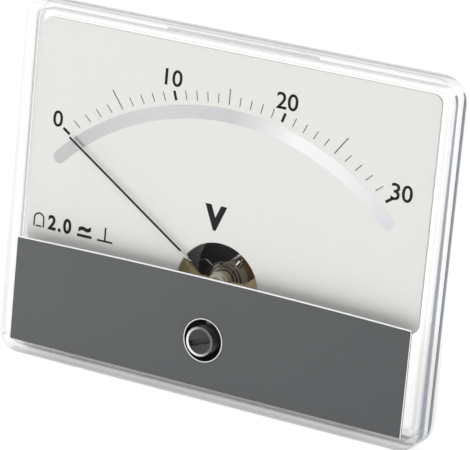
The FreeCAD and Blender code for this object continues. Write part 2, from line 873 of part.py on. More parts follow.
def make_arm():
    # from the hub out behind the dial, forward through its opening, then along the needle
    middle = (hub_front + hub_back) / 2
    points = [polar(arm_start, -rest_angle, middle), polar(crank_back, -rest_angle, middle),
              polar(crank_front, -rest_angle, needle_y),
              polar(needle_root + arm_socket, -rest_angle, needle_y)]
    wire = tube(points, arm_radius, arm_bend)
    sleeve = Part.makeCylinder(ferrule_radius, needle_root - crank_front - ferrule_gap,
                               polar(crank_front + ferrule_gap, -rest_angle, needle_y),
                               polar(1, -rest_angle, 0) - polar(0, 0, 0))
    return wire.fuse(sleeve).removeSplitter()


def make_needle():
    out = polar(1, -rest_angle, 0) - polar(0, 0, 0)
    start = polar(needle_root, -rest_angle, needle_y)
    body = Part.makeCylinder(needle_radius, needle_tip - needle_root, start, out)
    return body.cut(Part.makeCylinder(arm_radius + set_gap, arm_socket + merge, start, out))


def make_balance():
    # a wire tail opposite the needle and a cross wire, each end carrying a small weight
    middle = (hub_front + hub_back) / 2
    wires = []
    weights = []
    for angle in (180.0, 90.0, -90.0):
        heading = angle - rest_angle
        start = polar(balance_root, heading, middle)
        out = polar(1, heading, 0) - polar(0, 0, 0)
        wires.append(Part.makeCylinder(balance_wire, balance_reach - balance_root, start, out))
        seat = polar(balance_reach - weight_length - weight_inset, heading, middle)
        weight = Part.makeCylinder(weight_radius, weight_length, seat, out)
        hole = Part.makeCylinder(balance_wire + set_gap, weight_length + 2 * weight_inset,
                                 seat - out * weight_inset, out)
        weights.append(weight.cut(hole))
    return wires, weights


def spring_inner():
    return hub_collar + spring_room


def make_hairspring(y0, heading):
    # half-turn arcs on two centres, each half turn wider by half of spring_step
    outer = []
    inner = []
    radius = spring_inner()
    side = 1
    x = 0.0
    for half_turn in range(2 * spring_turns):
        for arcs, r in ((outer, radius + spring_strip), (inner, radius)):
            start = V(x + side * r, y0, axis_z)
            middle = V(x, y0, axis_z + side * r)
            end = V(x - side * r, y0, axis_z)
            arcs.append(Part.Arc(start, middle, end).toShape())
        x = x + side * spring_step / 2
        radius = radius + spring_step / 2
        side = -side
    caps = [Part.LineSegment(inner[i].Vertexes[i].Point, outer[i].Vertexes[i].Point).toShape()
            for i in (0, -1)]
    wire = Part.Wire(Part.__sortEdges__(outer + inner + caps))
    return turned(Part.Face(wire).extrude(V(0, spring_height, 0)), heading)


# ---- movement frame and electrical parts ----

def make_movement_frame():
    back = frame_front + frame_thickness
    body = rod(frame_radius, frame_front, back)
    body = body.cut(rod(yoke_radius + set_gap, frame_front - past, back + past, 0, axis_z))
    posts = [rod(board_post, back - merge, back + board_stand, s * board_post_x, board_z)
             for s in (-1, 1)]
    body = fused([body] + posts)
    cuts = [rod(frame_screw_radius + screw_gap, frame_front - past, back + past, x, z)
            for x, z in frame_screw_places()]
    cuts += [rod(board_screw_radius + set_gap, frame_front + board_hole_start,
                 back + board_stand + past, s * board_post_x, board_z) for s in (-1, 1)]
    cuts.append(rod(lead_radius + lead_gap, frame_front - past, back + past, -lead_x,
                    board_z - board_height / 2 + lead_lift))
    return body.cut(Part.makeCompound(cuts))


def make_frame_screws():
    screws = []
    for x, z in frame_screw_places():
        head = slotted_head(frame_screw_head, frame_head_height, frame_front - frame_head_height,
                            x, z, frame_screw_slot, frame_slot_turn)
        shank = rod(frame_screw_radius - thread_bite - set_gap, frame_front - merge,
                    frame_front + frame_screw_reach, x, z)
        screws.append(fused([head, shank]))
    return screws


def board_y():
    return frame_front + frame_thickness + board_stand


def make_board():
    y0 = board_y()
    body = block(-board_width / 2, board_width / 2, y0, y0 + board_thickness,
                 board_z - board_height / 2, board_z + board_height / 2)
    body = round_edges(body, board_corner, lambda e: is_along(e, along_y))
    for s in (-1, 1):
        body = body.cut(rod(board_screw_radius + screw_gap, y0 - past,
                            y0 + board_thickness + past, s * board_post_x, board_z))
    return body


def make_board_screws():
    screws = []
    back = board_y() + board_thickness
    for s in (-1, 1):
        x = s * board_post_x
        shank = rod(board_screw_radius, frame_front + board_screw_start, back + merge,
                    x, board_z)
        head = rod(board_screw_head, back, back + board_head_height, x, board_z)
        half = board_screw_head + past
        slot = block(x - half, x + half, back + board_head_height / 2,
                     back + board_head_height + past, board_z - board_screw_slot / 2,
                     board_z + board_screw_slot / 2)
        screws.append(fused([head, shank]).cut(slot))
    return screws


def make_board_part(radius, length, x, z):
    # a round body lying along X on the board
    y = board_y() + board_thickness + radius
    body = Part.makeCylinder(radius, length, V(x - length / 2, y, z), V(1, 0, 0))
    return body.makeFillet(radius * part_rounding, [e for e in body.Edges if e.Closed])


def make_diodes():
    places = [(s * diode_x, board_z + row) for s in (-1, 1) for row in diode_rows]
    return [make_board_part(diode_radius, diode_length, x, z) for x, z in places]


def make_resistor():
    return make_board_part(resistor_radius, resistor_length, 0.0, board_z - resistor_drop)


def make_studs():
    studs = []
    for x, z in corners_of(2 * stud_x, 2 * stud_rise, face_z):
        shank = rod(stud_radius, seam_y, stud_length, x, z)
        shank = shank.makeChamfer(stud_chamfer,
                                  [e for e in shank.Edges if at_height_y(e, stud_length)])
        root = rod(stud_root, seam_y - merge, 0, x, z)
        head = rod(stud_head, seam_y - stud_head_height, seam_y, x, z)
        studs.append(fused([shank, root, head]))
    return studs


def make_terminals():
    end = barrel_depth + terminal_length
    seat = barrel_back - inner_washer
    bodies = {"terminal_studs": [], "terminal_inner_washers": [], "terminal_lock_nuts": [],
              "solder_lugs": [], "terminal_washers": [], "terminal_nuts": []}
    for s in (-1, 1):
        x = s * terminal_x
        z = terminal_z
        shank = rod(terminal_radius, barrel_back - terminal_seat, end, x, z)
        shank = shank.makeChamfer(terminal_chamfer, [e for e in shank.Edges if at_height_y(e, end)])
        head = hexagon(terminal_nut, seat - terminal_head, seat, x, z)
        bodies["terminal_studs"].append(fused([shank, head]))
        loose = rod(terminal_radius + screw_gap, seat - past, end + past, x, z)
        washer = rod(inner_washer_radius, seat, barrel_back, x, z)
        stack = [("terminal_inner_washers", washer)]
        y = barrel_depth
        stack.append(("terminal_lock_nuts", hexagon(terminal_nut, y, y + lock_nut_height, x, z)))
        y = y + lock_nut_height
        tip = z + lug_length
        tongue = block(x - lug_tongue / 2, x + lug_tongue / 2, y, y + lug_thickness, z, tip)
        eye = block(x - lug_eye / 2, x + lug_eye / 2, y - past, y + lug_thickness + past,
                    tip - lug_eye_start, tip - lug_eye_end)
        lug = fused([rod(lug_radius, y, y + lug_thickness, x, z), tongue]).cut(eye)
        stack.append(("solder_lugs", lug))
        y = y + lug_thickness
        stack.append(("terminal_washers", rod(washer_radius, y, y + washer_thickness, x, z)))
        y = y + washer_thickness
        stack.append(("terminal_nuts", hexagon(terminal_nut, y, y + nut_height, x, z)))
        for name, body in stack:
            bodies[name].append(body.cut(loose))
    return bodies


def make_leads():
    # insulated wires: each terminal to the board, and the board to each bridge
    start_y = barrel_back - inner_washer - terminal_head
    y = board_y() + board_thickness
    leads = []
    for s in (-1, 1):
        x = s * (board_width / 2 - lead_inset)
        leads.append([V(s * terminal_x, start_y, terminal_z),
                      V(s * terminal_x, y + lead_loop, terminal_z),
                      V(x, y + lead_loop, board_z - lead_drop),
                      V(x, y, board_z - lead_drop)])
    low = board_z - board_height / 2 + lead_lift
    behind = rear_bridge_y - lead_bend - behind_gap
    leads.append([V(lead_x, y, low), V(lead_x, behind, low),
                  V(lead_x, behind, axis_z + bridge_lead_lift),
                  V(lead_x, rear_bridge_y, axis_z + bridge_lead_lift)])
    pillar_x, pillar_z = front_pillars()[0]
    ahead = frame_front - lead_front
    leads.append([V(-lead_x, board_y(), low), V(-lead_x, ahead, low),
                  V(pillar_x, ahead, pillar_z + lead_rise),
                  V(pillar_x, ahead, pillar_z + pillar_radius)])
    return [tube(points, lead_radius, lead_bend) for points in leads]


def make_all():
    os.makedirs("parts", exist_ok=True)
    save("front_cover", [make_front_cover()])
    save("cover_band", [make_band()])
    save("rear_base", [make_rear_base()])
    save("dial_plate", [make_dial()])
    save("dial_screws", make_dial_screws())
    save("cover_screws", make_cover_screws())
    save("zero_screw", [make_zero_screw()])
    save("zero_lever", [make_zero_lever()])
    save("yoke_ring", [make_yoke()])
    save("core_magnet", [make_core()])
    save("core_holders", make_core_holders())
    save("front_bridge", [make_front_bridge()])
    save("rear_bridge", [make_rear_bridge()])
    save("bridge_pillars", make_pillars())
    save("bridge_screws", make_bridge_screws())
    lock_front = lever_front - lock_gap
    save("front_jewel_screw", [make_jewel_screw(front_jewel_y, lock_front - jewel_tail, -1)])
    save("front_jewel", [make_jewel(front_jewel_y, -1)])
    save("front_lock_nut", [make_lock_nut(lock_front - front_nut_height, lock_front)])
    back = rear_bridge_y + bridge_thickness
    save("rear_jewel_screw", [make_jewel_screw(rear_jewel_y, back + rear_jewel_tail, 1)])
    save("rear_jewel", [make_jewel(rear_jewel_y, 1)])
    save("rear_lock_nut", [make_lock_nut(back, back + rear_nut_height)])
    save("coil_former", [make_former()])
    save("coil_winding", [make_winding()])
    save("pivot_seats", make_pivot_seats())
    save("front_pivot", [make_front_pivot()])
    save("rear_pivot", [make_rear_pivot()])
    save("pointer_hub", [make_hub()])
    save("pointer_arm", [make_arm()])
    save("pointer_needle", [make_needle()])
    wires, weights = make_balance()
    save("balance_arms", wires)
    save("balance_weights", weights)
    save("front_hairspring", [make_hairspring(spring_front, 90.0)])
    save("rear_hairspring", [make_hairspring(rear_spring_y, 0.0)])
    save("movement_frame", [make_movement_frame()])
    save("frame_screws", make_frame_screws())
    save("rectifier_board", [make_board()])
    save("board_screws", make_board_screws())
    save("rectifier_diodes", make_diodes())
    save("series_resistor", [make_resistor()])
    save("mounting_studs", make_studs())
    for name, bodies in make_terminals().items():
        save(name, bodies)
    save("lead_wires", make_leads())


make_all()
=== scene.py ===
import bpy
import bmesh
import json
import math
from mathutils import Matrix, Quaternion, Vector


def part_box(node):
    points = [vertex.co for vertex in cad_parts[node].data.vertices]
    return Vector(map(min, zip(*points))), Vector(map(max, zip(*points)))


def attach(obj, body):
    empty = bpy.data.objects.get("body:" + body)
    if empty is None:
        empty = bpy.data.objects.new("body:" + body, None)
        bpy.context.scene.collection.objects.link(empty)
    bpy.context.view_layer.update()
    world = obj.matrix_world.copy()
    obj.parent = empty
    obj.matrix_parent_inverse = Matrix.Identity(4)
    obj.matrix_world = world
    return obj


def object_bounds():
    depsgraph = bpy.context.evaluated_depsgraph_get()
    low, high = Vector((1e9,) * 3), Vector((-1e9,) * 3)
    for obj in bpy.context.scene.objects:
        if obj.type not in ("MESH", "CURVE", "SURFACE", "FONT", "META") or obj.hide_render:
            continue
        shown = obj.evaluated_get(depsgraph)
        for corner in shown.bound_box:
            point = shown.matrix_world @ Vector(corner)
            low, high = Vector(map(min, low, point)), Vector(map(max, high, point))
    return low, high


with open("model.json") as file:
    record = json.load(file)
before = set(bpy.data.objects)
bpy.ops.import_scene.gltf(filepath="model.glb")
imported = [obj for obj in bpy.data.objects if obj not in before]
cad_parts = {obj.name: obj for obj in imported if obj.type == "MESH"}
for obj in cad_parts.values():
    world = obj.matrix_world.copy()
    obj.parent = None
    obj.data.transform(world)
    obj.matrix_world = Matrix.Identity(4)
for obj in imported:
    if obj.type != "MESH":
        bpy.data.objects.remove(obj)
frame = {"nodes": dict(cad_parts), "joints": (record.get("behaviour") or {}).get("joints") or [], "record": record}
cadBox = [list(corner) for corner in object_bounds()]
nodes = frame["nodes"]
mm = 0.001


class Value:  # a shader socket that adds and multiplies like a number
    def __init__(self, finish, socket):
        self.finish = finish
        self.socket = socket

    def maths(self, operation, *values):
        return self.finish.node("ShaderNodeMath", {"operation": operation}, values)

    def __add__(self, other):
        return self.maths("ADD", self, other)

    def __mul__(self, other):
        return self.maths("MULTIPLY", self, other)

    def __sub__(self, other):
        return self.maths("SUBTRACT", self, other)

    def __rsub__(self, other):
        return self.maths("SUBTRACT", other, self)

    def __truediv__(self, other):
        return self.maths("DIVIDE", self, other)

    def __pow__(self, other):
        return self.maths("POWER", self, other)

    def __gt__(self, other):
        return self.maths("GREATER_THAN", self, other)

    def __lt__(self, other):
        return self.maths("LESS_THAN", self, other)

    __radd__ = __add__
    __rmul__ = __mul__


class Finish:
    def __init__(self, name):
        self.material = bpy.data.materials.new(name)
        self.material.use_nodes = True
        self.tree = self.material.node_tree
        self.tree.nodes.clear()

    def node(self, kind, settings=None, inputs=(), output=0):
        made = self.tree.nodes.new(kind)
        for name, value in (settings or {}).items():
            if name == "stops":
                for index, (position, colour) in enumerate(value):
                    stops = made.color_ramp.elements
                    stop = stops[index] if index < len(stops) else stops.new(position)
                    stop.position = position
                    stop.color = (*colour, 1)
            else:
                setattr(made, name, value)
        pairs = inputs.items() if isinstance(inputs, dict) else enumerate(inputs)
        for key, value in pairs:
            if isinstance(value, Value):
                self.tree.links.new(value.socket, made.inputs[key])
            else:
                made.inputs[key].default_value = value
        return Value(self, made.outputs[output]) if len(made.outputs) else None

    def place(self, scale=(1, 1, 1), turn=(0, 0, 0), move=(0, 0, 0)):
        spot = self.node("ShaderNodeTexCoord", output="Object")
        return self.node("ShaderNodeMapping", {}, {"Vector": spot, "Scale": scale,
                         "Rotation": [math.radians(a) for a in turn], "Location": move})

    def noise(self, scale, detail=2.0, where=None):
        return self.node("ShaderNodeTexNoise", {}, {"Vector": where or self.place(),
                         "Scale": scale, "Detail": detail})

    def mix(self, factor, low, high):
        return self.node("ShaderNodeMix", {"data_type": "RGBA"},
                         {0: factor, 6: rgba(low), 7: rgba(high)}, 2)

    def bump(self, height, distance, strength=1.0):
        return self.node("ShaderNodeBump", {}, {"Height": height, "Distance": distance,
                         "Strength": strength})

    def shader(self, **sockets):
        names = {key.replace("_", " "): value for key, value in sockets.items()}
        return self.node("ShaderNodeBsdfPrincipled", {}, names)

    def cover(self, surface):
        self.node("ShaderNodeOutputMaterial", {}, {"Surface": surface})
        return self.material


def rgba(colour):
    if isinstance(colour, Value) or len(colour) == 4:
        return colour
    return (*colour, 1)


def brushedMetal(name, light, dark, roughness=0.3, brush=(1, 1, 1), grain=2500.0, metal=1.0):
    # the grain is stretched along the axis whose brush value is small
    finish = Finish(name)
    grainNoise = finish.noise(grain, 3.0, finish.place(brush))
    cloud = finish.noise(180.0, 2.0)
    tone = grainNoise * 0.55 + cloud * 0.45
    return finish.cover(finish.shader(
        Base_Color=finish.mix(tone, dark, light),
        Metallic=metal,
        Roughness=roughness * 0.7 + grainNoise * roughness * 0.6,
        Normal=finish.bump(grainNoise, 0.00001, 0.5)))


def threadedMetal(name, light, dark, pitch):
    # thread grooves round a shaft that lies along Y
    finish = Finish(name)
    scale = math.pi / (10 * pitch * mm)
    groove = finish.node("ShaderNodeTexWave", {"bands_direction": "Y"},
                         {"Vector": finish.place(), "Scale": scale, "Distortion": 0.0}, 1)
    grainNoise = finish.noise(2500.0, 3.0)
    return finish.cover(finish.shader(
        Base_Color=finish.mix(groove * 0.7 + grainNoise * 0.3, dark, light),
        Metallic=0.9,
        Roughness=0.25 + grainNoise * 0.12,
        Normal=finish.bump(groove, 0.2 * mm, 0.9)))


def mouldedPlastic(name, light, dark, roughness=0.45, grain=4000.0, depth=0.00001):
    finish = Finish(name)
    grainNoise = finish.noise(grain, 3.0)
    cloud = finish.noise(90.0, 2.0)
    return finish.cover(finish.shader(
        Base_Color=finish.mix(grainNoise * 0.5 + cloud * 0.5, dark, light),
        Roughness=roughness - 0.08 + cloud * 0.16,
        Normal=finish.bump(grainNoise, depth, 0.6)))


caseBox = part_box("front_cover")
clearLook = {
    "wall": 1.8,  # millimetres in from the sides that count as wall
    "skin": 0.4,
    "window": 0.006,  # how much of each surface is seen, window then walls
    "walls": 0.06,
    "foot": 0.10,  # added along the lower wall
    "footHeight": 2.7,
    "edge": 0.5,
    "power": 3.6,
    "grey": (0.40, 0.41, 0.435),
    "shade": (0.20, 0.23, 0.29),
    "leftShare": 0.25,  # the painted shade bands are strongest to the right
    "rightFrom": 41.0,
    # each painted shade band across the walls: its depth, half its width at the top, growth towards the foot,
    # strength
    "bands": ((-5.3, 0.55, 1.0, 0.8), (-2.1, 0.65, 0.0, 0.8)),
}


def clearPlastic(name, look, haze=0.0):
    # see-through when looked at squarely, greyer in the walls, darkest where the wall turns, with painted shade
    # bands across the walls that are strongest on the right
    finish = Finish(name)
    low, high = caseBox
    spot = finish.place()
    x = finish.node("ShaderNodeSeparateXYZ", {}, {"Vector": spot}, 0)
    y = finish.node("ShaderNodeSeparateXYZ", {}, {"Vector": spot}, 1)
    z = finish.node("ShaderNodeSeparateXYZ", {}, {"Vector": spot}, 2)
    middle = (low.z + high.z) / 2
    aside = x.maths("ABSOLUTE", x)
    above = (z - middle).maths("ABSOLUTE", z - middle)
    across = aside > high.x - look["wall"] * mm
    upright = above > high.z - middle - look["wall"] * mm
    wall = across.maths("MAXIMUM", across, upright)
    skin = aside > high.x - look["skin"] * mm
    skin = skin.maths("MAXIMUM", skin, above > high.z - middle - look["skin"] * mm)
    # the painted shade is weaker on the left walls than on the right
    right = (x > look["rightFrom"] * mm) * (1 - look["leftShare"]) + look["leftShare"]
    down = (high.z - z) / (high.z - low.z)
    shade = wall * 0.0
    # painted shade: grey-blue bands at set depths in the walls' skin
    for depth, half, growth, strength in look["bands"]:
        width = (down * growth + half) * mm
        near = 1.0 - (y - depth * mm).maths("ABSOLUTE", y - depth * mm) / width
        near = near.maths("MINIMUM", near.maths("MAXIMUM", near, 0.0) * 1.6, 1.0)
        shade = shade + near * strength
    shade = shade * skin * right
    facing = finish.node("ShaderNodeLayerWeight", {}, {"Blend": 0.5}, "Facing")
    mould = finish.noise(60.0, 2.0)
    share = facing ** look["power"] * look["edge"] + shade + wall * (look["walls"] + haze)
    lowest = z < low.z + look["footHeight"] * mm
    share = share + look["window"] + haze * 0.4 + lowest * look["foot"]
    share = share.maths("MINIMUM", share * (0.92 + mould * 0.16), 0.97)
    grey = finish.mix(mould, look["grey"], [c * 1.08 for c in look["grey"]])
    gloss = finish.shader(
        Base_Color=finish.mix(shade.maths("MINIMUM", shade * 1.5, 1.0), grey, look["shade"]),
        Roughness=0.05 + mould * 0.04,
        IOR=1.5,
        Normal=finish.bump(mould, 0.00002, 0.3))
    clear = finish.node("ShaderNodeBsdfTransparent", {}, {"Color": (0.995, 0.995, 0.992, 1)})
    return finish.cover(finish.node("ShaderNodeMixShader", {}, {0: share, 1: clear, 2: gloss}))


def dialEnamel():
    finish = Finish("dialEnamel")
    peel = finish.noise(900.0, 2.0)
    speck = finish.noise(5200.0, 1.0)
    cloud = finish.noise(35.0, 2.0)
    return finish.cover(finish.shader(
        Base_Color=finish.mix(cloud * 0.7 + speck * 0.3,
                              (0.785, 0.783, 0.766), (0.82, 0.818, 0.80)),
        Roughness=0.5 + peel * 0.1,
        Normal=finish.bump(peel, 0.00001, 0.25)))


def bandFinish():
    # matt dark grey, a little lighter to the left
    finish = Finish("bandGrey")
    grain = finish.noise(6500.0, 3.0)
    cloud = finish.noise(45.0, 2.0)
    x = finish.node("ShaderNodeSeparateXYZ", {}, {"Vector": finish.place()}, 0)
    left = 0.5 - x * 12.0
    tone = finish.mix(left, (0.064, 0.069, 0.072), (0.094, 0.098, 0.100))
    return finish.cover(finish.shader(
        Base_Color=finish.mix(grain * 0.3 + cloud * 0.25, tone, (0.10, 0.104, 0.107)),
        Roughness=0.5 + grain * 0.2,
        Normal=finish.bump(grain, 0.00002, 0.8)))


def copperWinding(turnAngle):
    # fine enamelled turns side by side across the coil's width
    finish = Finish("copperWinding")
    along = finish.place((1, 1, 1), (0, turnAngle, 0))
    turns = finish.node("ShaderNodeTexWave", {"bands_direction": "X"},
                        {"Vector": along, "Scale": 1600.0, "Distortion": 1.5, "Detail": 1.0}, 1)
    cloud = finish.noise(260.0, 2.0)
    return finish.cover(finish.shader(
        Base_Color=finish.mix(turns * 0.7 + cloud * 0.3, (0.16, 0.06, 0.03), (0.62, 0.28, 0.13)),
        Metallic=0.85,
        Roughness=0.3 + cloud * 0.1,
        Normal=finish.bump(turns, 0.00006, 0.8)))


def windingAngle():
    # the coil's long side, read from where its mesh reaches furthest from the pointer axis
    axis = pointerAxis
    far = max((v.co for v in nodes["coil_winding"].data.vertices),
              key=lambda p: (p.x - axis.x) ** 2 + (p.z - axis.z) ** 2)
    return math.degrees(math.atan2(far.x - axis.x, far.z - axis.z))


def boardFinish():
    finish = Finish("phenolicBoard")
    weave = finish.noise(3000.0, 2.0, finish.place((1, 1, 0.25)))
    cloud = finish.noise(200.0, 3.0)
    return finish.cover(finish.shader(
        Base_Color=finish.mix(weave * 0.5 + cloud * 0.5, (0.2, 0.11, 0.045), (0.36, 0.22, 0.1)),
        Roughness=0.45 + weave * 0.15,
        Normal=finish.bump(weave, 0.00002, 0.5)))


def bandedPart(name, body, ringColour, width):
    # colour rings round a small part that lies along X
    finish = Finish(name)
    x = finish.node("ShaderNodeSeparateXYZ", {}, {"Vector": finish.place()}, 0)
    wave = (x * (1 / width)).maths("FRACT", x * (1 / width))
    ring = wave < 0.3
    speck = finish.noise(4000.0, 2.0)
    return finish.cover(finish.shader(
        Base_Color=finish.mix(ring, finish.mix(speck, body, [c * 1.3 for c in body]), ringColour),
        Roughness=0.3 + speck * 0.1,
        Normal=finish.bump(speck, 0.00001, 0.4)))


def jewelFinish():
    finish = Finish("rubyJewel")
    depth = finish.noise(3000.0, 2.0)
    return finish.cover(finish.shader(
        Base_Color=finish.mix(depth, (0.42, 0.02, 0.05), (0.75, 0.1, 0.16)),
        Roughness=0.06 + depth * 0.05, Coat_Weight=1.0))


def inkFinish(name, colour, roughness=0.45):
    finish = Finish(name)
    grain = finish.noise(9000.0, 2.0)
    return finish.cover(finish.shader(
        Base_Color=finish.mix(grain, colour, [c + 0.008 for c in colour]),
        Roughness=roughness + grain * 0.1,
        Specular_IOR_Level=0.15,
        Normal=finish.bump(grain, 0.000004, 0.4)))


joints = {joint["name"]: joint for joint in frame["joints"]}
pointerAxis = Vector(joints["pointer_swing"]["pos_m"])
screwAxis = Vector(joints["zero_adjust"]["pos_m"])

finishes = {
    "clear_case": clearPlastic("clearCase", clearLook),
    "clear_base": clearPlastic("clearBase", clearLook, 0.03),
    "grey_band": bandFinish(),
    "dial_white": dialEnamel(),
    "black_plastic": mouldedPlastic("blackPlastic", (0.028, 0.028, 0.03),
                                    (0.012, 0.012, 0.013), 0.4),
    "brass": brushedMetal("brass", (0.96, 0.82, 0.50), (0.84, 0.67, 0.36), 0.3, metal=0.4),
    "steel": brushedMetal("zincSteel", (0.74, 0.75, 0.77), (0.5, 0.5, 0.52), 0.28, (0.3, 1, 1)),
    "soft_iron": brushedMetal("softIron", (0.10, 0.10, 0.105), (0.05, 0.05, 0.055), 0.42,
                              metal=0.6),
    "magnet": mouldedPlastic("darkMagnet", (0.05, 0.05, 0.053), (0.025, 0.025, 0.028), 0.4),
    "aluminium": brushedMetal("aluminium", (0.9, 0.9, 0.91), (0.7, 0.7, 0.71), 0.25, (0.2, 1, 1)),
    "copper": copperWinding(windingAngle()),
    "beige_plastic": mouldedPlastic("beigePlastic", (0.66, 0.60, 0.50), (0.54, 0.48, 0.39), 0.4),
    "white_plastic": mouldedPlastic("whitePlastic", (0.88, 0.87, 0.82), (0.80, 0.79, 0.74), 0.3),
    "needle_black": inkFinish("needleBlack", (0.012, 0.012, 0.012), 0.4),
    "nickel": brushedMetal("nickel", (0.8, 0.77, 0.72), (0.6, 0.57, 0.53), 0.22),
    "bronze": brushedMetal("bronze", (0.30, 0.24, 0.18), (0.16, 0.12, 0.09), 0.3),
    "ruby": jewelFinish(),
    "board": boardFinish(),
    "diode_black": bandedPart("diodeBlack", (0.02, 0.02, 0.02), (0.6, 0.6, 0.6), 0.0036),
    "resistor_blue": bandedPart("resistorBlue", (0.12, 0.3, 0.42), (0.35, 0.16, 0.05), 0.0016),
    "lead_insulation": mouldedPlastic("leadInsulation", (0.5, 0.05, 0.04), (0.38, 0.03, 0.03), 0.4),
}
slotOf = {row["node"]: row["material_slot"] for row in frame["record"]["subparts"]}
threads = {  # light, dark and pitch in millimetres
    "mounting_studs": threadedMetal("steelThread", (0.72, 0.73, 0.75), (0.4, 0.4, 0.42), 0.5),
    "terminal_studs": threadedMetal("brassThread", (0.86, 0.66, 0.32), (0.5, 0.36, 0.15), 0.7),
}
for name, node in nodes.items():
    node.data.materials.clear()
    node.data.materials.append(threads.get(name) or finishes[slotOf[name]])
print("finishes on", len(nodes), "parts")


def start():
    bpy.ops.object.select_all(action="DESELECT")


def named(name, material):
    piece = bpy.context.active_object
    piece.name = name
    piece.data.name = name
    piece.data.materials.clear()
    piece.data.materials.append(material)
    bpy.ops.object.transform_apply(location=True, rotation=True, scale=True)
    return piece


def edit(piece, wanted=None, kind="FACE"):
    # edit mode with only the wanted vertices, edges or faces selected
    start()
    piece.select_set(True)
    bpy.context.view_layer.objects.active = piece
    bpy.ops.object.mode_set(mode="EDIT")
    bpy.ops.mesh.select_mode(type=kind)
    mesh = bmesh.from_edit_mesh(piece.data)
    items = {"FACE": mesh.faces, "EDGE": mesh.edges, "VERT": mesh.verts}[kind]
    bpy.ops.mesh.select_all(action="DESELECT")
    for item in items:
        item.select_set(wanted is None or bool(wanted(item)))
    mesh.select_flush_mode()
    bmesh.update_edit_mesh(piece.data)


def done():
    bpy.ops.object.mode_set(mode="OBJECT")


def joined(name, pieces):
    start()
    for piece in pieces:
        piece.select_set(True)
    bpy.context.view_layer.objects.active = pieces[0]
    if len(pieces) > 1:
        bpy.ops.object.join()
    pieces[0].name = name
    pieces[0].data.name = name
    return pieces[0]


def outward(piece):
    edit(piece, kind="VERT")
    bpy.ops.mesh.remove_doubles(threshold=0.000001)
    bpy.ops.mesh.normals_make_consistent(inside=False)
    done()


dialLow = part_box("dial_plate")[0]
coverLow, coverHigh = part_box("front_cover")
faceCentre = Vector(((coverLow.x + coverHigh.x) / 2, 0, (coverLow.z + coverHigh.z) / 2))
printFinish = inkFinish("printBlack", (0.006, 0.006, 0.006))

printing = {
    "ink": 0.02,  # millimetres from here on, places from the face's centre
    "flat": 0.02,  # thickness of a letter before it is brought down to the ink
    "shift": (-0.34, -0.18),
    "firstAngle": -57.0,
    "lastAngle": 56.0,
    "ticks": 31,
    "innerRadius": 51.3,
    "innerCentre": -30.6,
    "minor": (0.13, 1.7),
    "thick": (0.5, 1.7),
    "middle": (0.16, 2.8),
    "middleGrowth": 1.1,
    "growthEnd": 28.0,  # degrees from upright where the growth is full
}


def dialSpot(x, z):
    dx, dz = printing["shift"]
    return Vector((faceCentre.x + (x + dx) * mm, dialLow.y, faceCentre.z + (z + dz) * mm))


def inkBar(width, length, spot, heading, material, name="bar"):
    # a printed bar that starts at spot and runs along heading, in degrees clockwise from upright
    ink = printing["ink"] * mm
    start()
    bpy.ops.mesh.primitive_cube_add(size=1, location=(0, 0, 0))
    bar = bpy.context.active_object
    bar.scale = (width * mm, 2 * ink, length * mm)
    bar.location = (0, 0, length * mm / 2)
    bpy.ops.object.transform_apply(location=True, rotation=True, scale=True)
    bar.matrix_world = Matrix.Translation(spot) @ Matrix.Rotation(math.radians(heading), 4, "Y")
    return named(name, material)


def makeTicks():
    pivot = Vector((0, (pointerAxis.z - faceCentre.z) / mm))
    groups = {"thick": [], "middle": [], "minor": []}
    for index in range(printing["ticks"]):
        share = index / (printing["ticks"] - 1)
        heading = printing["firstAngle"] + share * (printing["lastAngle"] - printing["firstAngle"])
        out = Vector((math.sin(math.radians(heading)), math.cos(math.radians(heading))))
        # where that line meets the circle that the ticks stand on
        offset = pivot - Vector((0, printing["innerCentre"]))
        half = offset.dot(out)
        reach = -half + math.sqrt(half ** 2 - offset.length_squared + printing["innerRadius"] ** 2)
        foot = pivot + out * reach
        kind = "thick" if index % 10 == 0 else "middle" if index % 5 == 0 else "minor"
        width, length = printing[kind]
        if kind == "middle":
            length += printing["middleGrowth"] * min(1, abs(heading) / printing["growthEnd"])
        groups[kind].append(inkBar(width, length, dialSpot(*foot), heading, printFinish))
    for kind, bars in groups.items():
        piece = joined("scale_ticks_" + kind, bars)
        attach(piece, "housing")


makeTicks()
print("scale ticks")


def words(name, text, height, centre, material, bold=0.0, squeeze=1.0, spacing=1.0):
    start()
    bpy.ops.object.text_add(location=(0, 0, 0))
    letters = bpy.context.active_object
    letters.data.body = text
    letters.data.align_x = "CENTER"
    letters.data.offset = bold
    letters.data.space_character = spacing
    letters.data.resolution_u = 4
    letters.data.extrude = printing["flat"]
    bpy.ops.object.convert(target="MESH")
    mesh = letters.data
    low = Vector([min(v.co[i] for v in mesh.vertices) for i in range(3)])
    high = Vector([max(v.co[i] for v in mesh.vertices) for i in range(3)])
    size = height * mm / (high.y - low.y)
    ink = printing["ink"] * mm / printing["flat"]
    middle = (low + high) / 2
    mesh.transform(Matrix.Diagonal((size * squeeze, size, ink, 1)) @ Matrix.Translation(-middle))
    mesh.transform(Matrix.Rotation(math.radians(90), 4, "X"))
    mesh.transform(Matrix.Translation(dialSpot(*centre)))
    piece = named(name, material)
    outward(piece)
    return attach(piece, "housing")


numbers = {
    "number_0": ("0", (-34.9, 11.7)),
    "number_10": ("10", (-11.8, 23.35)),
    "number_20": ("20", (11.05, 23.35)),
    "number_30": ("30", (34.55, 11.9)),
}
for name, (text, centre) in numbers.items():
    words(name, text, 3.0, centre, printFinish, bold=0.012, squeeze=1.08)
words("letter_V", "V", 4.6, (-1.0, 0.28), printFinish, bold=0.055)
words("class_figure", "2.0", 2.8, (-32.8, -7.45), printFinish, bold=0.032, squeeze=0.95,
      spacing=1.22)
print("figures")

arcBand = {
    "radius": 48.7,
    "centre": -30.0,
    "width": 2.4,
    "from": -44.3,  # degrees from upright
    "to": 42.0,
    "steps": 72,
}


